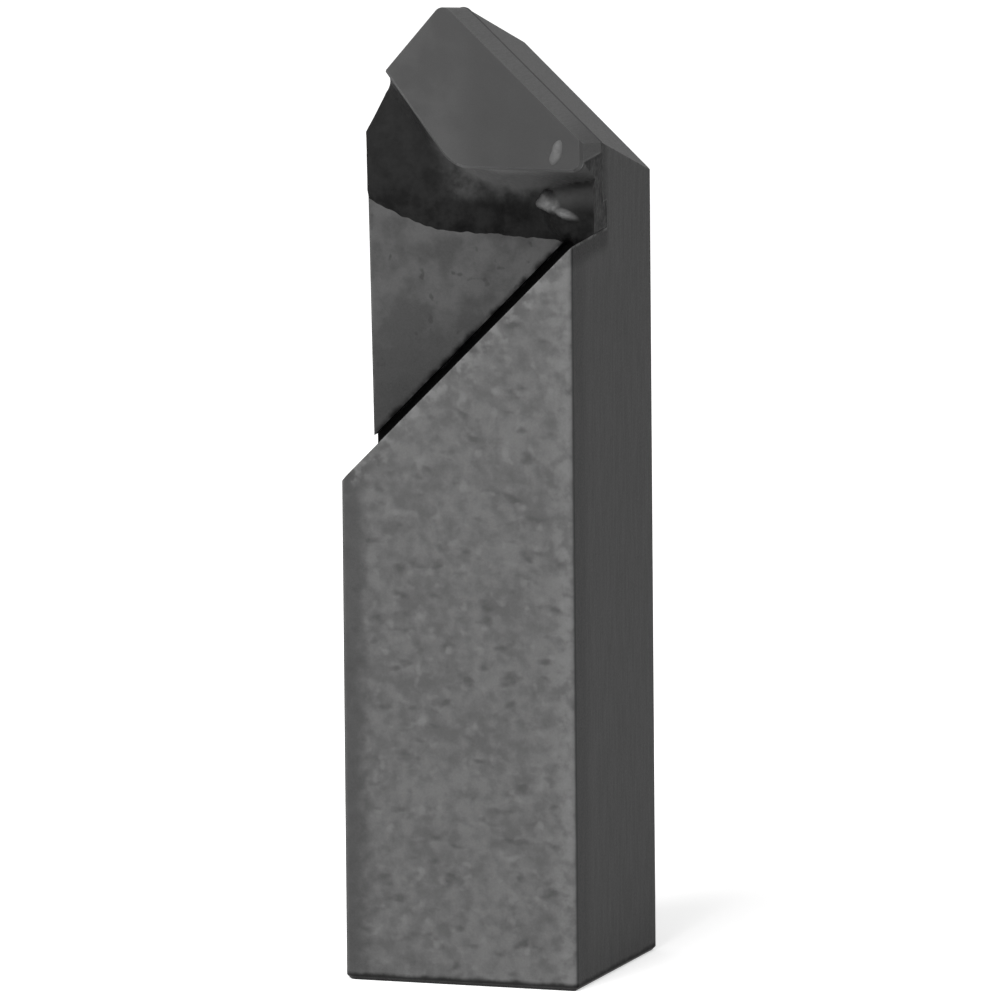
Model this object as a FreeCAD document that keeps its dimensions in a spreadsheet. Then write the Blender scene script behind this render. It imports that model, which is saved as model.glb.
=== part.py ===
# Square-shank boring tool bit with a brazed carbide tip, standing on the end of its shank.
# Millimetres. X runs across the bit, Y from its front to its back, Z up from the base end.
# The front is the side with the seat and the rake face.
import FreeCAD, Part
import os
import Sketcher

doc = FreeCAD.newDocument("boring_tool_bit")
vector = FreeCAD.Vector

# Driving sizes, in millimetres and degrees. Drops are measured down from the nose.
sizes = {
    "shank_width": 9.525,
    "overall_length": 37.75,
    "stock_edge_radius": 0.2,
    "worn_edge_radius": 0.5,
    "base_chamfer": 0.15,
    "back_rake": 2.5,
    "rake_face_setback": 1.1,
    "tip_thickness": 2.2,
    "braze_thickness": 0.1,
    "shoulder_drop": 18.35,
    "shoulder_angle": 45,
    "relief_width": 0.75,
    "relief_depth": 0.4,
    "nose_radius": 0.4,
    "nose_offset": 0.73,
    "lead_angle": 49,
    "trail_angle": 43.5,
    "tip_clearance": 7,
    "shank_clearance": 15,
    "flank_drop": 5.3,
    "flank_angle": 61,
    "tip_length": 6.25,
    "tip_corner_offset": 3.11,
    "tip_corner_drop": 2.68,
    "tip_side_angle": 54,
    "tip_inner_radius": 1.3,
    "tip_outer_radius": 0.5,
    "tip_edge_break": 0.12,
    "fillet_width": 1.1,
    "fillet_height": 1.7,
    "fillet_top_width": 0.12,
    "run_out_thickness": 0.12,
    "run_out_left_drop": 8.2,
    "run_out_drop": 9.2,
}
size = doc.addObject("Spreadsheet::Sheet", "size")
for row, (alias, number) in enumerate(sizes.items(), start=1):
    size.set(f"A{row}", alias)
    size.set(f"B{row}", str(number))
    size.setAlias(f"B{row}", alias)
doc.recompute()

# Expressions that several features share
half_width = "size.shank_width / 2"
seat_below_face = "(size.tip_thickness + size.braze_thickness)"
# how far a cut goes past what it has to reach
spare = "size.shank_width"
# how far the plate and the braze stand above the nose before they are ground
blank_top = "size.tip_thickness"
# the braze fillet is hollow: a third of the way up, it is already under half as wide
fillet_waist_height = "size.fillet_height / 3"
fillet_waist_width = "size.fillet_width / 2.4"
# the shares of the half width, left of the middle, at which the edge of the run-out bends
outer_bend = 0.7
inner_bend = 0.35


def value(expression):
    """The number that an expression gives with the sheet as it is."""
    return float(size.evalExpression(expression))


def origin_plane(body, role):
    """One of the body's own three planes."""
    return next(plane for plane in body.Origin.OriginFeatures if plane.Role == role)


def new_sketch(body, name, role):
    """An empty sketch on one of the body's planes."""
    sketch = body.newObject("Sketcher::SketchObject", name)
    sketch.AttachmentSupport = [(origin_plane(body, role), "")]
    sketch.MapMode = "FlatFace"
    return sketch


def new_rake_sketch(body, name, below):
    """An empty sketch parallel to the rake face, some way below it.

    Its origin is level with the nose, its X runs across and its Y up along the face.
    """
    sketch = new_sketch(body, name, "XZ_Plane")
    tilt = FreeCAD.Rotation(vector(1, 0, 0), value("size.back_rake"))
    sketch.AttachmentOffset = FreeCAD.Placement(vector(), tilt)
    sketch.setExpression("AttachmentOffset.Rotation.Angle", "size.back_rake")
    sketch.setExpression(
        "AttachmentOffset.Base.y", f"size.overall_length + {below} * sin(size.back_rake)")
    sketch.setExpression(
        "AttachmentOffset.Base.z",
        f"{half_width} - size.rake_face_setback - {below} * cos(size.back_rake)")
    return sketch


def bind(sketch, kind, *where, to):
    """Adds a dimension to the sketch and ties it to an expression."""
    number = value(to)
    if kind == "Angle":
        number = FreeCAD.Units.Quantity(f"{number} deg").getValueAs("rad").Value
    index = sketch.addConstraint(Sketcher.Constraint(kind, *where, number))
    sketch.setExpression(f"Constraints[{index}]", to)


def draw(sketch, *geometry):
    """Adds lines and arcs to the sketch."""
    for shape in geometry:
        sketch.addGeometry(shape, False)


def join(sketch, *pairs):
    """Joins the end of one line to the start of another."""
    for first, second in pairs:
        sketch.addConstraint(Sketcher.Constraint("Coincident", first, 2, second, 1))


def polygon(sketch, corners):
    """A closed outline of straight lines whose corners are pairs of expressions."""
    points = [vector(value(across), value(up), 0) for across, up in corners]
    following = points[1:] + points[:1]
    draw(sketch, *(Part.LineSegment(start, end) for start, end in zip(points, following)))
    join(sketch, *((index, (index + 1) % len(points)) for index in range(len(points))))
    for index, (across, up) in enumerate(corners):
        bind(sketch, "DistanceX", -1, 1, index, 1, to=across)
        bind(sketch, "DistanceY", -1, 1, index, 1, to=up)


def feature(body, kind, name, sketch, **options):
    """A feature of the body that is made from the sketch. Its sizes are expressions."""
    made = body.newObject(f"PartDesign::{kind}", name)
    made.Profile = sketch
    for option, setting in options.items():
        if option in ("Length", "Length2"):
            made.setExpression(option, setting)
        else:
            setattr(made, option, setting)
    doc.recompute()
    return made


def edges_of(made, wanted):
    """The feature and the names of those of its edges whose middle passes the test."""
    names = []
    for index, edge in enumerate(made.Shape.Edges, start=1):
        middle = edge.valueAt((edge.FirstParameter + edge.LastParameter) / 2)
        if wanted(middle):
            names.append(f"Edge{index}")
    return made, names


def polar(centre, radius, degrees):
    """The point on a circle at an angle from the X axis."""
    return centre + FreeCAD.Rotation(vector(0, 0, 1), degrees).multVec(vector(radius, 0, 0))


def arc(centre, radius, start, end):
    """An arc of a circle between two angles in degrees, counter-clockwise."""
    middle = polar(centre, radius, (start + end) / 2)
    return Part.Arc(polar(centre, radius, start), middle, polar(centre, radius, end))


def grind_end(body, name, below, clearance):
    """Grinds the two cutting edges and the nose back from the rake face at a clearance angle.

    The ground outline is the lead edge on the left, the nose arc and the trail edge on the
    right. It runs back along one slanted line, so that the nose keeps its radius.
    """
    turn = "sin(size.lead_angle + size.trail_angle)"
    across = f"(cos(size.trail_angle) - cos(size.lead_angle)) / {turn}"
    down = f"(sin(size.trail_angle) + sin(size.lead_angle)) / {turn}"
    centre_x = f"{below} * tan(size.tip_clearance) * {across} - size.nose_offset"
    centre_y = f"-size.nose_radius - {below} * tan(size.tip_clearance) * {down}"

    sketch = new_rake_sketch(body, f"{name}_outline", below)
    lead = 90 + value("size.lead_angle")
    trail = 90 - value("size.trail_angle")
    reach = value(spare)
    centre = vector(value(centre_x), value(centre_y), 0)
    lead_touch = polar(centre, value("size.nose_radius"), lead)
    trail_touch = polar(centre, value("size.nose_radius"), trail)
    lead_end = polar(lead_touch, reach, lead + 90)
    trail_end = polar(trail_touch, reach, trail - 90)
    lead_top = vector(lead_end.x, reach, 0)
    trail_top = vector(trail_end.x, reach, 0)
    draw(
        sketch,
        Part.LineSegment(lead_end, lead_touch),
        arc(centre, value("size.nose_radius"), trail, lead),
        Part.LineSegment(trail_touch, trail_end),
        Part.LineSegment(trail_end, trail_top),
        Part.LineSegment(trail_top, lead_top),
        Part.LineSegment(lead_top, lead_end),
    )
    sketch.addConstraint(Sketcher.Constraint("Tangent", 0, 2, 1, 2))
    sketch.addConstraint(Sketcher.Constraint("Tangent", 1, 1, 2, 1))
    join(sketch, (2, 3), (3, 4), (4, 5), (5, 0))
    sketch.addConstraint(Sketcher.Constraint("Vertical", 3))
    sketch.addConstraint(Sketcher.Constraint("Horizontal", 4))
    sketch.addConstraint(Sketcher.Constraint("Vertical", 5))
    bind(sketch, "DistanceX", -1, 1, 1, 3, to=centre_x)
    bind(sketch, "DistanceY", -1, 1, 1, 3, to=centre_y)
    bind(sketch, "Radius", 1, to="size.nose_radius")
    bind(sketch, "Angle", -1, 1, 0, 1, to="size.lead_angle")
    bind(sketch, "Angle", 2, 2, -1, 2, to="size.trail_angle")
    bind(sketch, "Distance", 0, to=spare)
    bind(sketch, "Distance", 2, to=spare)
    bind(sketch, "DistanceY", -1, 1, 3, 2, to=spare)

    cut = feature(body, "Pocket", name, sketch, UseCustomVector=True, AlongSketchNormal=True)
    cut.setExpression("Direction.x", f"tan({clearance}) * {across}")
    cut.setExpression(
        "Direction.y", f"cos(size.back_rake) + tan({clearance}) * {down} * sin(size.back_rake)")
    cut.setExpression(
        "Direction.z", f"sin(size.back_rake) - tan({clearance}) * {down} * cos(size.back_rake)")
    cut.setExpression("Length", f"2 * {spare}")
    doc.recompute()
    return cut


def cut_flank(body):
    """Trims the left flank of the steel and braze, more steeply than the lead edge above it."""
    sketch = new_sketch(body, "flank_outline", "XZ_Plane")
    foot = "size.overall_length - size.flank_drop"
    polygon(sketch, [
        (f"-{half_width}", foot),
        (f"{spare} / tan(size.flank_angle) - {half_width}", f"{foot} + {spare}"),
        (f"-{spare}", f"{foot} + {spare}"),
        (f"-{spare}", foot),
    ])
    return feature(body, "Pocket", "flank_cut", sketch, Type="ThroughAll", Midplane=True)


def plate_outline(body, name, below, grown="0"):
    """The outline of the carbide plate before grinding, grown on its lower sides.

    The plate has a sloping side on the lower left, a level foot, and a right side that is
    flush with the shank. Both lower corners are round.
    """
    sketch = new_rake_sketch(body, name, below)
    right = half_width
    foot = f"-size.tip_length - {grown}"
    inner_radius = f"(size.tip_inner_radius + {grown})"
    outer_radius = f"(size.tip_outer_radius + {grown})"
    # the sloping side starts above the point where the lead edge will be ground
    above = "size.tip_corner_offset / 2"
    start_x = f"-size.tip_corner_offset - {above} - {grown} * sin(size.tip_side_angle)"
    start_y = (f"{above} * tan(size.tip_side_angle) - size.tip_corner_drop"
               f" - {grown} * cos(size.tip_side_angle)")

    side = -value("size.tip_side_angle")
    start = vector(value(start_x), value(start_y), 0)
    top = value(blank_top)
    inner = value(inner_radius)
    outer = value(outer_radius)
    foot_height = value(foot)
    slope = value("tan(size.tip_side_angle)")
    # where the sloping side would meet the foot, and how far the round corner cuts it back
    meeting = vector(start.x + (start.y - foot_height) / slope, foot_height, 0)
    cut_back = inner * value("tan(size.tip_side_angle / 2)")
    inner_centre = vector(meeting.x + cut_back, foot_height + inner, 0)
    outer_centre = vector(value(right) - outer, foot_height + outer, 0)
    draw(
        sketch,
        Part.LineSegment(start, polar(inner_centre, inner, 180 + 90 + side)),
        arc(inner_centre, inner, 270 + side, 270),
        Part.LineSegment(polar(inner_centre, inner, 270), polar(outer_centre, outer, 270)),
        arc(outer_centre, outer, 270, 360),
        Part.LineSegment(polar(outer_centre, outer, 0), vector(value(right), top, 0)),
        Part.LineSegment(vector(value(right), top, 0), vector(start.x, top, 0)),
        Part.LineSegment(vector(start.x, top, 0), start),
    )
    sketch.addConstraint(Sketcher.Constraint("Tangent", 0, 2, 1, 1))
    sketch.addConstraint(Sketcher.Constraint("Tangent", 1, 2, 2, 1))
    sketch.addConstraint(Sketcher.Constraint("Tangent", 2, 2, 3, 1))
    sketch.addConstraint(Sketcher.Constraint("Tangent", 3, 2, 4, 1))
    join(sketch, (4, 5), (5, 6), (6, 0))
    sketch.addConstraint(Sketcher.Constraint("Horizontal", 2))
    sketch.addConstraint(Sketcher.Constraint("Vertical", 4))
    sketch.addConstraint(Sketcher.Constraint("Horizontal", 5))
    sketch.addConstraint(Sketcher.Constraint("Vertical", 6))
    bind(sketch, "DistanceX", -1, 1, 0, 1, to=start_x)
    bind(sketch, "DistanceY", -1, 1, 0, 1, to=start_y)
    bind(sketch, "Angle", 0, 1, -1, 1, to="size.tip_side_angle")
    bind(sketch, "Radius", 1, to=inner_radius)
    bind(sketch, "Radius", 3, to=outer_radius)
    bind(sketch, "DistanceY", -1, 1, 2, 1, to=foot)
    bind(sketch, "DistanceX", -1, 1, 4, 1, to=right)
    bind(sketch, "DistanceY", -1, 1, 4, 2, to=blank_top)
    return sketch


def new_body(node):
    """A body whose label is the name of the piece."""
    body = doc.addObject("PartDesign::Body", f"{node}_body")
    body.Label = node
    return body


# The shank is square bar. Its left front edge is worn rounder than the other three.
shank = new_body("shank")
section = new_sketch(shank, "bar_section", "XY_Plane")
half = value(half_width)
sharp = value("size.stock_edge_radius")
worn = value("size.worn_edge_radius")
draw(
    section,
    Part.LineSegment(vector(worn - half, -half, 0), vector(half - sharp, -half, 0)),
    arc(vector(half - sharp, sharp - half, 0), sharp, 270, 360),
    Part.LineSegment(vector(half, sharp - half, 0), vector(half, half - sharp, 0)),
    arc(vector(half - sharp, half - sharp, 0), sharp, 0, 90),
    Part.LineSegment(vector(half - sharp, half, 0), vector(sharp - half, half, 0)),
    arc(vector(sharp - half, half - sharp, 0), sharp, 90, 180),
    Part.LineSegment(vector(-half, half - sharp, 0), vector(-half, worn - half, 0)),
    arc(vector(worn - half, worn - half, 0), worn, 180, 270),
)
for line, corner in ((0, 1), (2, 3), (4, 5), (6, 7)):
    section.addConstraint(Sketcher.Constraint("Tangent", line, 2, corner, 1))
    section.addConstraint(Sketcher.Constraint("Tangent", corner, 2, (line + 2) % 8, 1))
section.addConstraint(Sketcher.Constraint("Horizontal", 0))
section.addConstraint(Sketcher.Constraint("Vertical", 2))
section.addConstraint(Sketcher.Constraint("Horizontal", 4))
section.addConstraint(Sketcher.Constraint("Vertical", 6))
bind(section, "DistanceY", 0, 1, -1, 1, to=half_width)
bind(section, "DistanceX", -1, 1, 2, 1, to=half_width)
bind(section, "DistanceY", -1, 1, 4, 1, to=half_width)
bind(section, "DistanceX", 6, 1, -1, 1, to=half_width)
for corner, radius in ((1, "stock"), (3, "stock"), (5, "stock"), (7, "worn")):
    bind(section, "Radius", corner, to=f"size.{radius}_edge_radius")
bar = feature(shank, "Pad", "bar", section, Length="size.overall_length")

# The base end is lightly chamfered all round.
base_break = shank.newObject("PartDesign::Chamfer", "base_break")
base_break.Base = edges_of(bar, lambda middle: abs(middle.z) < value("size.base_chamfer"))
base_break.setExpression("Size", "size.base_chamfer")
doc.recompute()

# The seat is milled back from the front, and ends below in a sloping shoulder.
left = f"-{spare}"
shoulder_start = f"({half_width} - {spare}) * tan(size.shoulder_angle) - size.shoulder_drop"
shoulder_end = f"({half_width} + {spare}) * tan(size.shoulder_angle) - size.shoulder_drop"
seat_outline = new_rake_sketch(shank, "seat_outline", seat_below_face)
polygon(seat_outline, [
    (left, shoulder_start), (spare, shoulder_end), (spare, f"2 * {spare}"), (left, f"2 * {spare}"),
])
feature(shank, "Pocket", "seat", seat_outline, Type="ThroughAll", Reversed=True)

# A relief groove runs along the foot of the shoulder.
groove_rise = "size.relief_width / cos(size.shoulder_angle)"
groove_outline = new_rake_sketch(shank, "groove_outline", seat_below_face)
polygon(groove_outline, [
    (left, shoulder_start), (spare, shoulder_end),
    (spare, f"{shoulder_end} + {groove_rise}"), (left, f"{shoulder_start} + {groove_rise}"),
])
feature(shank, "Pocket", "relief_groove", groove_outline, Length="size.relief_depth")

grind_end(shank, "ground_shank", seat_below_face, "size.shank_clearance")
cut_flank(shank)

# The tip is a plate of carbide, ground together with the shank. The edge between its face and
# its lower sides is broken, and its cutting edges are left sharp.
tip = new_body("carbide_tip")
plate_profile = plate_outline(tip, "plate_profile", "size.tip_thickness")
plate = feature(tip, "Pad", "plate", plate_profile, Length="size.tip_thickness")
rake_slope = value("tan(size.back_rake)")
# how far a point may lie off the rake face and still count as on it
rounding = 0.01


def on_lower_face_edge(middle):
    """Whether a point lies on the rake face's outline below its pointed left corner."""
    drop = value("size.overall_length") - middle.z
    face_y = value(f"size.rake_face_setback - {half_width}") + drop * rake_slope
    on_face = abs(middle.y - face_y) < rounding
    below_corner = drop > value("size.tip_corner_drop") / 2
    left_of_shank_side = middle.x < value(half_width) - value("size.tip_edge_break")
    return on_face and below_corner and left_of_shank_side


edge_break = tip.newObject("PartDesign::Chamfer", "edge_break")
edge_break.Base = edges_of(plate, on_lower_face_edge)
edge_break.setExpression("Size", "size.tip_edge_break")
doc.recompute()
grind_end(tip, "ground_tip", "0", "size.tip_clearance")

# The braze runs out over the seat in a thin film, which stops at the relief groove, and it
# stands in a hollow fillet round the foot of the plate.
braze = new_body("braze_joint")
film_outline = new_rake_sketch(braze, "film_outline", seat_below_face)
polygon(film_outline, [
    (f"-{half_width}", "-size.run_out_left_drop"),
    (f"-{half_width} * {outer_bend}", "-(size.run_out_left_drop + size.run_out_drop) / 2"),
    (f"-{half_width} * {inner_bend}", "-size.run_out_drop"),
    (half_width, "-size.run_out_drop"),
    (half_width, blank_top),
    (f"-{half_width}", blank_top),
])
feature(braze, "Pad", "film", film_outline, Length="size.run_out_thickness")
fillet_foot = plate_outline(braze, "fillet_foot", seat_below_face, "size.fillet_width")
fillet_waist = plate_outline(
    braze, "fillet_waist", f"({seat_below_face} - {fillet_waist_height})", f"({fillet_waist_width})")
fillet_top = plate_outline(
    braze, "fillet_top", f"({seat_below_face} - size.fillet_height)", "size.fillet_top_width")
doc.recompute()
fillet = braze.newObject("PartDesign::AdditiveLoft", "fillet")
fillet.Profile = fillet_foot
fillet.Sections = [(fillet_waist, [""]), (fillet_top, [""])]
doc.recompute()
plate_room = plate_outline(braze, "plate_room", "size.tip_thickness")
feature(braze, "Pocket", "plate_seat", plate_room, Type="ThroughAll", Reversed=True)
grind_end(braze, "ground_braze", "0", "size.tip_clearance")
cut_flank(braze)
stop_outline = new_rake_sketch(braze, "stop_outline", seat_below_face)
polygon(stop_outline, [
    (left, f"{shoulder_start} + {groove_rise}"), (spare, f"{shoulder_end} + {groove_rise}"),
    (spare, f"{shoulder_start} - {spare}"), (left, f"{shoulder_start} - {spare}"),
])
feature(braze, "Pocket", "stop_at_groove", stop_outline, Type="ThroughAll", Reversed=True)
doc.recompute()

# Every object has to be sound before anything is written.
for item in doc.Objects:
    if "Invalid" in item.State or "Error" in item.State:
        raise RuntimeError(f"{item.Label} did not build: {item.State}")
os.makedirs("parts", exist_ok=True)
for piece in (shank, tip, braze):
    shape = piece.Shape
    if shape.isNull() or not shape.isValid() or len(shape.Solids) != 1:
        raise RuntimeError(f"{piece.Label} is not one valid solid")
for piece in (shank, tip, braze):
    piece.Shape.exportStep(f"parts/{piece.Label}.step")
    print(piece.Label, round(piece.Shape.Volume, 2), piece.Shape.BoundBox)
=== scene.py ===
# Looks of a square-shank boring tool bit with a brazed carbide tip, in metres.
import math
import bmesh
import bpy
from mathutils import Matrix, Vector, noise


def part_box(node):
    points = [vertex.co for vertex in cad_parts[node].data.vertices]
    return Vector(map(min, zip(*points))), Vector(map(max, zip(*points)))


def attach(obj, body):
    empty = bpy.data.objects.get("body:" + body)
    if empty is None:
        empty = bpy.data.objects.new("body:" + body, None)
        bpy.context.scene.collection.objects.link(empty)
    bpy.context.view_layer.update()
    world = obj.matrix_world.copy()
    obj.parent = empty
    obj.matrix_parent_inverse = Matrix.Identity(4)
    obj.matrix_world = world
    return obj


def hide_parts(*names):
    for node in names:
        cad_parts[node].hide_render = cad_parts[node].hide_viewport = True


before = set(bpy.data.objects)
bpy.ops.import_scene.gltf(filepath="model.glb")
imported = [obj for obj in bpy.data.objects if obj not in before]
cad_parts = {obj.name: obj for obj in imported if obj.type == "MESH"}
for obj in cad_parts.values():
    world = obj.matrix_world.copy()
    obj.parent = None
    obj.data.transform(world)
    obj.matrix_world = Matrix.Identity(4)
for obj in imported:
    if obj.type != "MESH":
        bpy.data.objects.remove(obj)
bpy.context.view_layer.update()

# The shank is a length of square tool steel with a dull, blasted skin. Its end is milled to a seat
# above a sloping shoulder and ground to a point. The skin is mottled and its edges are rubbed
# brighter. The groove at the foot of the shoulder and the edge round the base are painted black as
# shade.
MM = 0.001
shank_high = Vector(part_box("shank")[1])
tip_low, tip_high = (Vector(corner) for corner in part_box("carbide_tip"))
half_width = shank_high.x
nose_height = tip_high.z
back_rake = math.radians(2.5)
plate_thickness = 2.2 * MM
braze_thickness = 0.1 * MM
seat_below_face = plate_thickness + braze_thickness
shoulder_drop = 18.35 * MM
groove_width = 0.75 * MM
shoulder_angle = math.radians(45)

# The rake face's own directions: across the bit, up along the face, and out of it to the front.
face_across = Vector((1, 0, 0))
face_up = Vector((0, -math.sin(back_rake), math.cos(back_rake)))
face_out = Vector((0, -math.cos(back_rake), -math.sin(back_rake)))
face_origin = Vector((0, tip_low.y, nose_height))
front = (0, -1, 0)
back = (0, 1, 0)
above = (0, 0, 1)


def on_face(across, up, out=0.0):
    """The point at a place measured from the nose along the rake face and out of it."""
    return face_origin + face_across * across + face_up * up + face_out * out


def new_material(name):
    """A material with a Principled shader, and that shader."""
    material = bpy.data.materials.new(name)
    material.use_nodes = True
    return material, material.node_tree.nodes["Principled BSDF"]


def node(material, kind, inputs=None, **settings):
    """A node with its settings and its inputs, each a value or another node's output."""
    made = material.node_tree.nodes.new(f"ShaderNode{kind}")
    for setting, value in settings.items():
        setattr(made, setting, value)
    for socket, value in (inputs or {}).items():
        if isinstance(value, bpy.types.NodeSocket):
            material.node_tree.links.new(value, made.inputs[socket])
        else:
            made.inputs[socket].default_value = value
    return made


def maths(material, operation, first, second=0.0):
    """A sum, product or other operation on two values."""
    return node(material, "Math", {0: first, 1: second}, operation=operation).outputs["Value"]


def fit(material, value, low, high, to_low=0.0, to_high=1.0):
    """A value carried smoothly from one range to another and held at its ends."""
    ranges = {"Value": value, "From Min": low, "From Max": high, "To Min": to_low, "To Max": to_high}
    return node(material, "MapRange", ranges, interpolation_type="SMOOTHSTEP").outputs["Result"]


def cloud(material, size, detail=4.0, rough=0.55, stretch=(1, 1, 1)):
    """Soft noise fixed to the piece, with blotches of about the given size in metres."""
    where = node(material, "TexCoord").outputs["Object"]
    scale = tuple(factor / size for factor in stretch)
    scaled = node(material, "Mapping", {"Vector": where, "Scale": scale}).outputs["Vector"]
    texture = {"Vector": scaled, "Scale": 1.0, "Detail": detail, "Roughness": rough}
    return node(material, "TexNoise", texture).outputs["Fac"]


def along(material, direction, origin=(0, 0, 0)):
    """How far a point of the piece lies from the origin in one direction."""
    where = node(material, "TexCoord").outputs["Object"]
    offset = node(material, "VectorMath", {0: where, 1: tuple(origin)}, operation="SUBTRACT")
    measured = {0: offset.outputs["Vector"], 1: tuple(direction)}
    return node(material, "VectorMath", measured, operation="DOT_PRODUCT").outputs["Value"]


def facing(material, direction):
    """How far the surface faces one direction, from minus one to one."""
    normal = node(material, "NewGeometry").outputs["True Normal"]
    inputs = {0: normal, 1: tuple(direction)}
    return node(material, "VectorMath", inputs, operation="DOT_PRODUCT").outputs["Value"]


def edge_wear(material, width):
    """Where the surface bends sharply within a width, as along an edge."""
    rounded = node(material, "Bevel", {"Radius": width}, samples=6).outputs["Normal"]
    normal = node(material, "NewGeometry").outputs["True Normal"]
    inputs = {0: rounded, 1: normal}
    kept = node(material, "VectorMath", inputs, operation="DOT_PRODUCT").outputs["Value"]
    return fit(material, kept, 0.995, 0.90)


def grey(level):
    """A neutral colour of one level."""
    return (level, level, level, 1.0)


def mix(material, factor, first, second):
    """A colour between two colours."""
    made = node(material, "Mix", {"Factor": factor}, data_type="RGBA")
    for socket, value in (("A_Color", first), ("B_Color", second)):
        target = next(entry for entry in made.inputs if entry.identifier == socket)
        if isinstance(value, bpy.types.NodeSocket):
            material.node_tree.links.new(value, target)
        else:
            target.default_value = value
    return next(entry for entry in made.outputs if entry.identifier == "Result_Color")


def bump(material, height, depth, under=None):
    """A bump whose full range is a depth in metres, laid over another bump if there is one."""
    inputs = {"Height": height, "Distance": depth, "Strength": 1.0}
    if under is not None:
        inputs["Normal"] = under
    return node(material, "Bump", inputs).outputs["Normal"]


def finish(material, shader, **sockets):
    """Sets or wires sockets of the shader, with an underscore for each space in a name."""
    for name, value in sockets.items():
        socket = shader.inputs[name.replace("_", " ")]
        if isinstance(value, bpy.types.NodeSocket):
            material.node_tree.links.new(value, socket)
        else:
            socket.default_value = value


def put_on(solid_name, material):
    """Gives a solid of the frame its material."""
    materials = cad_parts[solid_name].data.materials
    materials.clear()
    materials.append(material)


def spots(material, size, low, high, stretch=(1, 1, 1)):
    """Scattered spots of about the given size, from none at the low value to full at the high."""
    return fit(material, cloud(material, size, detail=1.5, rough=0.5, stretch=stretch), low, high)


def waver(material, distance, noise_value, reach):
    """A distance whose contours wander by up to a reach, as a noise value does."""
    return maths(material, "ADD", distance, maths(material, "MULTIPLY", noise_value, reach))


def times(material, *factors):
    """The product of several values."""
    product = factors[0]
    for factor in factors[1:]:
        product = maths(material, "MULTIPLY", product, factor)
    return product


steel, steel_shader = new_material("blasted_steel")
skin_blotches = cloud(steel, 0.60 * MM, detail=3.0, rough=0.5)
skin_patches = cloud(steel, 1.9 * MM, detail=3.0)
skin_grain = cloud(steel, 0.09 * MM, detail=3.0, rough=0.65)
mottle = maths(steel, "ADD", maths(steel, "MULTIPLY", skin_blotches, 0.6),
               maths(steel, "MULTIPLY", skin_patches, 0.4))
skin_colour = mix(steel, fit(steel, mottle, 0.36, 0.64), grey(0.087), grey(0.126))
dents = spots(steel, 0.70 * MM, 0.56, 0.78, stretch=(0.8, 1, 1.4))
glints = spots(steel, 0.60 * MM, 0.44, 0.22, stretch=(1, 0.9, 1.1))
skin_colour = mix(steel, maths(steel, "MULTIPLY", dents, 0.7), skin_colour, grey(0.050))
skin_colour = mix(steel, maths(steel, "MULTIPLY", glints, 0.55), skin_colour, grey(0.175))

# painted shade along the front face's rounded left edge, and a painted highlight along its right one
across_bit = along(steel, face_across)
faces_front = fit(steel, facing(steel, front), 0.5, 0.9)
ragged_across = waver(steel, across_bit, skin_blotches, 0.7 * MM)
painted_shade_left_edge = fit(steel, ragged_across, 1.75 * MM - half_width, 0.95 * MM - half_width)
skin_colour = mix(steel, times(steel, painted_shade_left_edge, faces_front, 0.75), skin_colour, grey(0.052))
# painted highlight: a lighter, ragged strip along the front face's right edge
painted_highlight_right_edge = fit(steel, ragged_across, half_width - 0.60 * MM, half_width + 0.05 * MM)
painted_highlight_right_edge = times(steel, painted_highlight_right_edge, faces_front, fit(steel, skin_blotches, 0.35, 0.6, 0.15, 0.55))
skin_colour = mix(steel, painted_highlight_right_edge, skin_colour, grey(0.165))

# sides: drawn smooth and duller, with faint lines along the bar, and darker, partly as painted shade;
# darker still towards the front edge and in a patch beside the seat
faces_side = fit(steel, maths(steel, "ABSOLUTE", facing(steel, face_across)), 0.6, 0.95)
side_lines = cloud(steel, 0.12 * MM, detail=2.0, stretch=(1, 1, 0.06))
side_colour = mix(steel, fit(steel, side_lines, 0.3, 0.7), grey(0.054), grey(0.064))
front_to_back = along(steel, back)
near_front = fit(steel, front_to_back, 2.1 * MM - half_width, 0.9 * MM - half_width, 0.0, 0.5)
side_colour = mix(steel, near_front, side_colour, grey(0.036))
seat_level = along(steel, face_out, on_face(0, 0, -seat_below_face))
up_seat = along(steel, face_up, face_origin)
# a darker patch on the sides beside the seat
side_patch_way = waver(steel, seat_level, skin_blotches, 0.5 * MM)
side_patch_depth = fit(steel, side_patch_way, -0.65 * MM, 0.15 * MM)
side_patch_foot = fit(steel, up_seat, -9.9 * MM, -9.3 * MM)
side_patch_top = fit(steel, up_seat, -4.6 * MM, -5.6 * MM)
side_patch = times(steel, side_patch_depth, side_patch_foot, side_patch_top, 0.75)
side_colour = mix(steel, side_patch, side_colour, grey(0.020))
steel_colour = mix(steel, faces_side, skin_colour, side_colour)

# milled seat: smoother and darker than the skin, with painted shade towards the shoulder's foot
on_seat = fit(steel, seat_level, 0.25 * MM, 0.08 * MM)
faces_rake = fit(steel, facing(steel, face_out), 0.95, 0.99)
seat_mask = maths(steel, "MULTIPLY", on_seat, faces_rake)
seat_mottle = cloud(steel, 1.5 * MM, detail=3.0)
seat_colour = mix(steel, fit(steel, seat_mottle, 0.38, 0.62), grey(0.056), grey(0.086))
# painted shade: the low part of the seat, down in the recess by the shoulder, is darkened
painted_shade_low = fit(steel, up_seat, -11.5 * MM, -15.5 * MM)
painted_shade_edge = fit(steel, seat_mottle, 0.33, 0.62, 0.4, 1.0)
seat_colour = mix(steel, times(steel, painted_shade_low, painted_shade_edge, 0.85), seat_colour, grey(0.040))
seat_specks = spots(steel, 0.55 * MM, 0.66, 0.74)
seat_colour = mix(steel, maths(steel, "MULTIPLY", seat_specks, 0.6), seat_colour, grey(0.035))
steel_colour = mix(steel, seat_mask, steel_colour, seat_colour)

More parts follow.
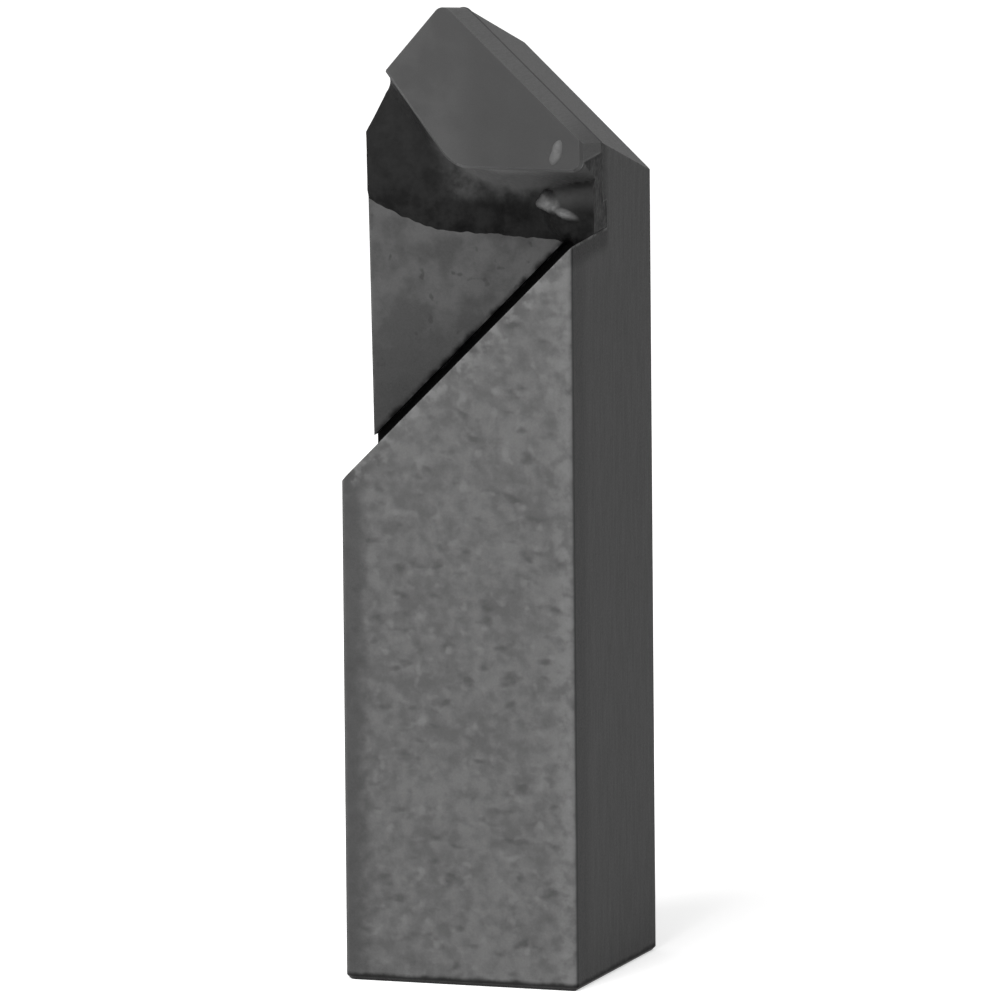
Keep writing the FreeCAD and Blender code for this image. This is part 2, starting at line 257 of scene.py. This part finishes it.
# ground end and flank: even grey with fine lines that run down the slopes
faces_up = fit(steel, facing(steel, above), 0.35, 0.5)
ground_lines = cloud(steel, 0.07 * MM, detail=2.0, stretch=(1, 0.05, 1))
ground_colour = mix(steel, fit(steel, ground_lines, 0.3, 0.7), grey(0.105), grey(0.140))
steel_colour = mix(steel, faces_up, steel_colour, ground_colour)

# rubbed edges, brighter in patches, and the front of the shoulder most of all
rubbed = maths(steel, "MULTIPLY", edge_wear(steel, 0.16 * MM), fit(steel, skin_blotches, 0.40, 0.6))
steel_colour = mix(steel, maths(steel, "MULTIPLY", rubbed, 0.4), steel_colour, grey(0.20))
shoulder_foot = on_face(-half_width, -shoulder_drop, -seat_below_face)
from_shoulder = face_up * math.cos(shoulder_angle) - face_across * math.sin(shoulder_angle)
groove_way = along(steel, from_shoulder, shoulder_foot)
below_shoulder = fit(steel, groove_way, -0.75 * MM, -0.15 * MM)
off_seat = fit(steel, groove_way, 0.10 * MM, 0.0)
patches = fit(steel, skin_blotches, 0.46, 0.62)
shoulder_rub = times(steel, below_shoulder, off_seat, faces_front, patches, 0.45)
steel_colour = mix(steel, shoulder_rub, steel_colour, grey(0.20))

# painted shade: the groove at the foot of the shoulder is painted near black
groove_ragged = waver(steel, groove_way, skin_blotches, 0.35 * MM)
groove_near = fit(steel, groove_ragged, groove_width + 0.42 * MM, groove_width + 0.12 * MM)
groove_foot = fit(steel, groove_way, -0.08 * MM, -0.02 * MM)
groove_deep = fit(steel, seat_level, 1.6 * MM, 0.6 * MM)
groove_floor = fit(steel, seat_level, -0.9 * MM, -0.6 * MM)
off_side = fit(steel, faces_side, 1.0, 0.0)
painted_groove_shade = times(steel, groove_near, groove_foot, groove_deep, groove_floor, off_side)
steel_colour = mix(steel, painted_groove_shade, steel_colour, grey(0.004))

# painted shadow: the broken edge round the base is painted near black, as the contact shadow at the foot
above_base = waver(steel, along(steel, above), skin_blotches, 0.15 * MM)
painted_base_shadow = fit(steel, above_base, 0.46 * MM, 0.26 * MM)
steel_colour = mix(steel, maths(steel, "MULTIPLY", painted_base_shadow, 0.92), steel_colour, grey(0.004))

# the groove's painted shade and the drawn sides shine less than the skin
steel_rough = fit(steel, skin_grain, 0.3, 0.7, 0.55, 0.68)
groove_shade_shine = fit(steel, painted_groove_shade, 0.0, 1.0, 1.0, 0.1)
side_shine = fit(steel, faces_side, 0.0, 1.0, 1.0, 0.2)
shine = maths(steel, "MULTIPLY", groove_shade_shine, side_shine)
steel_bump = bump(steel, skin_grain, 0.012 * MM, bump(steel, skin_blotches, 0.02 * MM))
finish(steel, steel_shader, Base_Color=steel_colour, Roughness=steel_rough, Normal=steel_bump,
       Metallic=maths(steel, "MULTIPLY", shine, 0.5),
       Specular_IOR_Level=maths(steel, "MULTIPLY", shine, 0.3))
put_on("shank", steel)

# The tip is a plate of cemented carbide, smooth and dull as pressed on its face, and ground on
# its end together with the steel, so that its relief faces are a little brighter.
carbide, carbide_shader = new_material("carbide")
haze = cloud(carbide, 1.8 * MM, detail=3.0)
fine = cloud(carbide, 0.05 * MM, detail=2.0)
carbide_colour = mix(carbide, fit(carbide, haze, 0.35, 0.65), grey(0.054), grey(0.066))
right_half = waver(carbide, along(carbide, face_across), haze, 1.5 * MM)
duller = fit(carbide, right_half, 0.0, 1.6 * MM, 0.0, 0.7)
carbide_colour = mix(carbide, duller, carbide_colour, grey(0.044))
carbide_up = fit(carbide, facing(carbide, above), 0.35, 0.5)
carbide_lines = cloud(carbide, 0.06 * MM, detail=2.0, stretch=(1, 0.05, 1))
carbide_ground = mix(carbide, fit(carbide, carbide_lines, 0.3, 0.7), grey(0.115), grey(0.145))
carbide_foot = fit(carbide, along(carbide, face_up, face_origin), -3.9 * MM, -5.5 * MM, 0.0, 0.75)
carbide_ground = mix(carbide, carbide_foot, carbide_ground, grey(0.045))
carbide_colour = mix(carbide, carbide_up, carbide_colour, carbide_ground)

# the side is dull; the broken edge at the foot is painted light in place of its own shade, and the one
# at the left has its dark neighbour's tone
carbide_side = fit(carbide, facing(carbide, face_across), 0.85, 0.97)
carbide_colour = mix(carbide, maths(carbide, "MULTIPLY", carbide_side, 0.9), carbide_colour, grey(0.024))
foot_way = (face_out - face_up).normalized()
# painted light on the down-facing broken edge at the plate's foot
foot_break_painted_light = fit(carbide, facing(carbide, foot_way), 0.95, 0.99, 0.0, 0.8)
carbide_colour = mix(carbide, foot_break_painted_light, carbide_colour, grey(0.15))
# the plate's left side slants by this angle from the upright
side_angle = math.radians(54)
left_way = face_out - face_across * math.sin(side_angle) - face_up * math.cos(side_angle)
left_break = fit(carbide, facing(carbide, left_way.normalized()), 0.95, 0.99, 0.0, 0.9)
carbide_colour = mix(carbide, left_break, carbide_colour, grey(0.035))
carbide_edge = maths(carbide, "MULTIPLY", edge_wear(carbide, 0.07 * MM), 0.18)
carbide_colour = mix(carbide, carbide_edge, carbide_colour, grey(0.18))
carbide_rough = fit(carbide, fine, 0.3, 0.7, 0.42, 0.54)
finish(carbide, carbide_shader, Base_Color=carbide_colour, Roughness=carbide_rough,
       Metallic=fit(carbide, carbide_side, 0.0, 1.0, 0.65, 0.0),
       Specular_IOR_Level=fit(carbide, carbide_side, 0.0, 1.0, 0.5, 0.1),
       Normal=bump(carbide, fine, 0.004 * MM))
put_on("carbide_tip", carbide)

# The braze joins plate and seat. It stands in a hollow fillet round the plate's foot and has run
# out over the seat in a thin, wavy sheet that is black with burnt flux. Some beads are brighter metal,
# partly painted as highlights.
side_corner = Vector((-3.11 * MM, -2.68 * MM))
plate_foot = -6.25 * MM
inner_radius = 1.3 * MM
outer_radius = 0.5 * MM
fillet_width = 1.55 * MM
fillet_height = 1.92 * MM
film_thickness = 0.12 * MM
film_end = -9.2 * MM
film_end_left = -8.2 * MM
# the run-out's edge rises to the left of this place, and thins out over the fade
left_turn = -1.6 * MM
edge_slope = 0.04
edge_fade = 0.35 * MM
fillet_hollow = 2.1
hidden_edge = 0.1 * MM
groove_depth = 0.4 * MM
# a thick lump fills the right end of the groove
lump_middle = Vector((half_width + 0.1 * MM, -8.1 * MM))
lump_reach = Vector((2.7 * MM, 1.9 * MM))
lump_height = 0.95 * MM
lump_left = 3.0 * MM
lump_blend = 1.0 * MM
# how far the mesh reaches below the seat, out of sight
skirt_depth = 0.05 * MM
# each bead: its middle across and up, its foot, half its width and length, how proud, its slant
beads = (
    (3.72 * MM, -5.48 * MM, 2.20 * MM, 0.27 * MM, 0.66 * MM, 0.17 * MM, math.radians(-20)),
    (2.86 * MM, -7.78 * MM, 0.62 * MM, 0.58 * MM, 0.40 * MM, 0.44 * MM, math.radians(-10)),
    (3.60 * MM, -8.10 * MM, 0.86 * MM, 0.62 * MM, 0.22 * MM, 0.40 * MM, math.radians(-20)),
)


def ripple(x, y, size, seed):
    """Smooth noise from minus one to one over the seat."""
    return noise.noise(Vector((x / size, y / size, seed)))


def smooth(low, high, value):
    """A smooth rise from nought to one as a value goes from low to high."""
    share = min(1.0, max(0.0, (value - low) / (high - low)))
    return share * share * (3 - 2 * share)


def from_plate(x, y):
    """How far a point of the seat lies outside the plate's outline."""
    to_side = (side_corner.x - x) * math.sin(side_angle) + (side_corner.y - y) * math.cos(side_angle)
    to_foot = plate_foot - y
    corner_x = x - half_width + outer_radius
    corner_y = to_foot + outer_radius
    if corner_x > 0 and corner_y > 0:
        return math.hypot(corner_x, corner_y) - outer_radius
    if to_side > -inner_radius and to_foot > -inner_radius:
        return math.hypot(to_side + inner_radius, to_foot + inner_radius) - inner_radius
    return max(to_side, to_foot)


def from_shore(x, y):
    """How far a point of the seat lies inside the edge of the run-out braze."""
    left_rise = max(0.0, (left_turn - x) / (half_width + left_turn))
    edge = film_end + (film_end_left - film_end) * left_rise ** 1.5 - edge_slope * x
    edge += 0.10 * MM * ripple(x, 0, 0.9 * MM, 3.0) + 0.05 * MM * ripple(x, 0, 0.3 * MM, 5.0)
    return y - edge


def braze_level(x, y):
    """Height of the braze above the seat."""
    outside = from_plate(x, y)
    shore = from_shore(x, y)
    swell = 0.05 * MM * ripple(x, y, 0.8 * MM, 1.0) + 0.02 * MM * ripple(x, y, 0.25 * MM, 2.0)
    film = (film_thickness + swell) * min(1.0, max(-0.4, shore / edge_fade))
    width = fillet_width * (1 + 0.22 * ripple(x, y, 1.6 * MM, 7.0))
    height = fillet_height * (1 + 0.06 * ripple(x, y, 1.2 * MM, 9.0))
    climb = max(0.0, 1 - max(outside, 0) / width)
    level = film + height * climb ** fillet_hollow
    lump = 1 - ((x - lump_middle.x) / lump_reach.x) ** 2 - ((y - lump_middle.y) / lump_reach.y) ** 2
    level = max(level, film + lump_height * smooth(0.0, 0.75, lump))
    groove_side = (y + shoulder_drop) * math.cos(shoulder_angle)
    groove_side -= (x + half_width) * math.sin(shoulder_angle)
    over_groove = smooth(groove_width + 0.06 * MM, groove_width - 0.22 * MM, groove_side)
    filled = smooth(lump_left, lump_left + lump_blend, x)
    level -= over_groove * (1 - filled) * (groove_depth + 0.2 * MM)
    if outside < -hidden_edge:
        level = braze_thickness * 0.9
    for bead_x, bead_y, base, wide, tall, proud, slant in beads:
        along_bead = (x - bead_x) * math.cos(slant) + (y - bead_y) * math.sin(slant)
        across_bead = (y - bead_y) * math.cos(slant) - (x - bead_x) * math.sin(slant)
        inside = 1 - (along_bead / wide) ** 2 - (across_bead / tall) ** 2
        inside += 0.35 * ripple(x, y, 0.35 * MM, 11.0)
        if inside > 0:
            level = max(level, base + proud * math.sqrt(inside))
    return level


# a grid over the seat, a little larger than the braze, is raised to its level and then trimmed
side_spare = 0.2 * MM
foot_spare = 0.6 * MM
top_spare = 0.4 * MM
grid_low = Vector((-half_width - side_spare, film_end - foot_spare))
grid_high = Vector((half_width + side_spare, top_spare))
grid_size = grid_high - grid_low
cell = 0.065 * MM
pool = bmesh.new()
across_cells = round(grid_size.x / cell)
up_cells = round(grid_size.y / cell)
bmesh.ops.create_grid(pool, x_segments=across_cells, y_segments=up_cells, size=0.5)
for vert in pool.verts:
    x = grid_low.x + (vert.co.x + 0.5) * grid_size.x
    y = grid_low.y + (vert.co.y + 0.5) * grid_size.y
    vert.co = on_face(x, y, braze_level(x, y) - seat_below_face)


def trim(shape, point, normal):
    """Cuts a shape off on the side of a plane that its normal points to."""
    everything = shape.verts[:] + shape.edges[:] + shape.faces[:]
    bmesh.ops.bisect_plane(
        shape, geom=everything, dist=1e-9, plane_co=point, plane_no=normal, clear_outer=True)


# the braze is ground with the nose, flank and sides, and stops at the shoulder
lead_angle = math.radians(49)
trail_angle = math.radians(43.5)
tip_clearance = math.radians(7)
nose_offset = 0.73 * MM
nose_radius = 0.4 * MM
nose_centre = on_face(-nose_offset, -nose_radius)
nose_steps = 8
nose_angle = lead_angle + trail_angle
back_across = (math.cos(trail_angle) - math.cos(lead_angle)) / math.sin(nose_angle)
back_down = (math.sin(trail_angle) + math.sin(lead_angle)) / math.sin(nose_angle)
for step in range(nose_steps + 1):
    turn = -lead_angle + nose_angle * step / nose_steps
    out = face_up * math.cos(turn) + face_across * math.sin(turn)
    relief = math.tan(tip_clearance) * (back_across * math.sin(turn) - back_down * math.cos(turn))
    trim(pool, nose_centre + out * nose_radius, (out + face_out * relief).normalized())
flush_gap = 0.01 * MM
for side in (-1, 1):
    trim(pool, Vector((side * (half_width - flush_gap), 0, 0)), Vector((side, 0, 0)))
flank_angle = math.radians(61)
flank_drop = 5.3 * MM
flank_foot = Vector((-half_width, 0, nose_height - flank_drop))
trim(pool, flank_foot, Vector((-math.sin(flank_angle), 0, math.cos(flank_angle))))
trim(pool, shoulder_foot + from_shoulder * 2 * flush_gap, -from_shoulder)

# the rim is turned down into the groove and just below the seat, and closed underneath
rim = [edge for edge in pool.edges if edge.is_boundary]
walls = bmesh.ops.extrude_edge_only(pool, edges=rim)
low_rim = [part for part in walls["geom"] if isinstance(part, bmesh.types.BMVert)]
for vert in low_rim:
    height = (vert.co - face_origin).dot(face_out) + seat_below_face
    in_groove = (vert.co - shoulder_foot).dot(from_shoulder) < groove_width + 2 * cell
    buried = groove_depth + skirt_depth if in_groove else skirt_depth
    vert.co -= face_out * (height + buried)
bmesh.ops.holes_fill(pool, edges=[edge for edge in pool.edges if edge.is_boundary], sides=0)
bmesh.ops.recalc_face_normals(pool, faces=pool.faces[:])
braze_mesh = bpy.data.meshes.new("braze_pool")
pool.to_mesh(braze_mesh)
pool.free()
braze_mesh.shade_smooth()
braze_mesh.set_sharp_from_angle(angle=math.radians(50))
braze_pool = bpy.data.objects.new("braze_pool", braze_mesh)
bpy.context.collection.objects.link(braze_pool)

# scorched black, thinner and lighter up the seat, and bare of flux on the fillet under the plate, with
# painted light there against the shade of the plate's overhang
burnt, burnt_shader = new_material("scorched_braze")
soot = cloud(burnt, 0.7 * MM, detail=4.0)
crust = cloud(burnt, 0.16 * MM, detail=3.0, rough=0.6)
burnt_colour = mix(burnt, fit(burnt, soot, 0.36, 0.64), grey(0.005), grey(0.013))
burnt_up = along(burnt, face_up, face_origin)
burnt_across = along(burnt, face_across)
up_the_seat = fit(burnt, burnt_up, -8.6 * MM, -5.5 * MM, 0.0, 0.5)
burnt_colour = mix(burnt, up_the_seat, burnt_colour, grey(0.024))
climb_height = along(burnt, face_out, on_face(0, 0, -seat_below_face))
ragged_height = waver(burnt, climb_height, soot, 0.5 * MM)
bare_height = fit(burnt, ragged_height, 0.20 * MM, 0.68 * MM)
bare_side = fit(burnt, burnt_across, -2.3 * MM, -0.8 * MM)
bare_reach = fit(burnt, burnt_up, -8.15 * MM, -7.35 * MM)
bare_right = fit(burnt, burnt_across, 4.3 * MM, 1.8 * MM, 0.27, 1.0)
bare = times(burnt, bare_height, bare_side, bare_reach, bare_right)
# bare braze, painted lighter still towards the plate as painted light
bare_and_painted_light_colour = mix(burnt, fit(burnt, climb_height, 1.0 * MM, 1.8 * MM), grey(0.112), grey(0.16))
burnt_colour = mix(burnt, bare, burnt_colour, bare_and_painted_light_colour)

# ground faces at the side and at the end
ground_side = fit(burnt, facing(burnt, face_across), 0.97, 0.995)
side_soot = mix(burnt, fit(burnt, soot, 0.38, 0.62), grey(0.020), grey(0.036))
burnt_colour = mix(burnt, ground_side, burnt_colour, side_soot)
ground_up = fit(burnt, facing(burnt, above), 0.55, 0.62)
near_end = fit(burnt, burnt_up, -5.9 * MM, -5.4 * MM)
burnt_colour = mix(burnt, maths(burnt, "MULTIPLY", ground_up, near_end), burnt_colour, grey(0.075))

# bright beads: brighter metal, partly a painted highlight on their raised tops
bead_shine_painted = None
for bead_x, bead_y, base, wide, tall, proud, slant in beads:
    bead_way = face_across * math.cos(slant) + face_up * math.sin(slant)
    bead_over = face_up * math.cos(slant) - face_across * math.sin(slant)
    bead_middle = on_face(bead_x, bead_y)
    way = maths(burnt, "DIVIDE", along(burnt, bead_way, bead_middle), wide)
    over = maths(burnt, "DIVIDE", along(burnt, bead_over, bead_middle), tall)
    reach = maths(burnt, "ADD", maths(burnt, "POWER", way, 2.0), maths(burnt, "POWER", over, 2.0))
    raised = fit(burnt, climb_height, base * 0.6, base * 0.9)
    near = maths(burnt, "MULTIPLY", fit(burnt, reach, 1.1, 0.0), raised)
    bead_shine_painted = near if bead_shine_painted is None else maths(burnt, "MAXIMUM", bead_shine_painted, near)
burnt_colour = mix(burnt, bead_shine_painted, burnt_colour, grey(0.140))
burnt_rough = fit(burnt, crust, 0.3, 0.7, 0.55, 0.75)
burnt_metal = maths(burnt, "MULTIPLY", bead_shine_painted, 0.8)
finish(burnt, burnt_shader, Base_Color=burnt_colour, Roughness=burnt_rough, Metallic=burnt_metal,
       Specular_IOR_Level=0.08, Normal=bump(burnt, crust, 0.02 * MM, bump(burnt, soot, 0.05 * MM)))
braze_mesh.materials.append(burnt)
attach(braze_pool, "root")
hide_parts("braze_joint")

# The floor is a plain pale sheet that carries the bit's soft shadow.
bpy.ops.mesh.primitive_plane_add(size=6.0)
floor = bpy.context.object
floor.name = "floor"
paper, paper_shader = new_material("pale_floor")
ray = node(paper, "LightPath").outputs
seen = maths(paper, "MAXIMUM", ray["Is Camera Ray"], ray["Is Glossy Ray"])
seen = maths(paper, "MAXIMUM", seen, ray["Is Transmission Ray"])
finish(paper, paper_shader, Base_Color=grey(0.85), Roughness=0.9, Emission_Color=grey(1.0))
finish(paper, paper_shader, Emission_Strength=maths(paper, "MULTIPLY", seen, 0.55))
floor.data.materials.append(paper)

# A long lens sees the bit from the right of its front and a little above, as the photo does.
# The scale is the shank's width in picture points. The middle is the picture point of the bit's.
view_turn = math.radians(19.22)
view_rise = math.radians(9.063)
view_roll = math.radians(0.5)
shank_width = 2 * half_width
view_distance = 80 * shank_width
photo_size = 1000
photo_scale = 247.45
photo_middle = Vector((496.598, 477.347))
frame_height = shank_width * photo_size / photo_scale
toward_camera = Vector((
    math.sin(view_turn) * math.cos(view_rise),
    -math.cos(view_turn) * math.cos(view_rise),
    math.sin(view_rise),
))
turned = Matrix.Rotation(view_turn, 4, "Z") @ Matrix.Rotation(math.radians(90) - view_rise, 4, "X")
turned = turned @ Matrix.Rotation(-view_roll, 4, "Z")
off_centre = Vector((photo_size / 2 - photo_middle.x, photo_middle.y - photo_size / 2, 0)) / photo_scale
half_way_up = Vector((0, 0, 2 * shank_width))
aim = half_way_up + turned.to_3x3() @ off_centre * shank_width
camera_data = bpy.data.cameras.new("camera")
camera_data.sensor_width = 36.0
camera_data.lens = camera_data.sensor_width * view_distance / frame_height
camera_data.clip_start = 0.01
camera_data.clip_end = 20.0
camera = bpy.data.objects.new("camera", camera_data)
camera.matrix_world = Matrix.Translation(aim + toward_camera * view_distance) @ turned
bpy.context.collection.objects.link(camera)
bpy.context.scene.camera = camera


def lamp(name, turn, rise, distance, across, watts):
    """A square soft lamp that looks at the middle of the bit."""
    data = bpy.data.lights.new(name, "AREA")
    data.size = across
    data.energy = watts
    toward = Vector((
        math.sin(math.radians(turn)) * math.cos(math.radians(rise)),
        -math.cos(math.radians(turn)) * math.cos(math.radians(rise)),
        math.sin(math.radians(rise)),
    ))
    light = bpy.data.objects.new(name, data)
    light.location = half_way_up + toward * distance
    light.rotation_euler = toward.to_track_quat("Z", "Y").to_euler()
    bpy.context.collection.objects.link(light)


# Soft studio light: a key lamp at the left, a weak fill at the right, and an even sky.
lamp("key_lamp", turn=-16, rise=46, distance=0.5, across=0.3, watts=2.65)
lamp("fill_lamp", turn=60, rise=20, distance=0.6, across=0.4, watts=0.1)

world = bpy.data.worlds.new("studio")
world.use_nodes = True
world.node_tree.nodes["Background"].inputs["Color"].default_value = grey(1.0)
world.node_tree.nodes["Background"].inputs["Strength"].default_value = 0.42
bpy.context.scene.world = world
bpy.context.scene.view_settings.view_transform = "Standard"
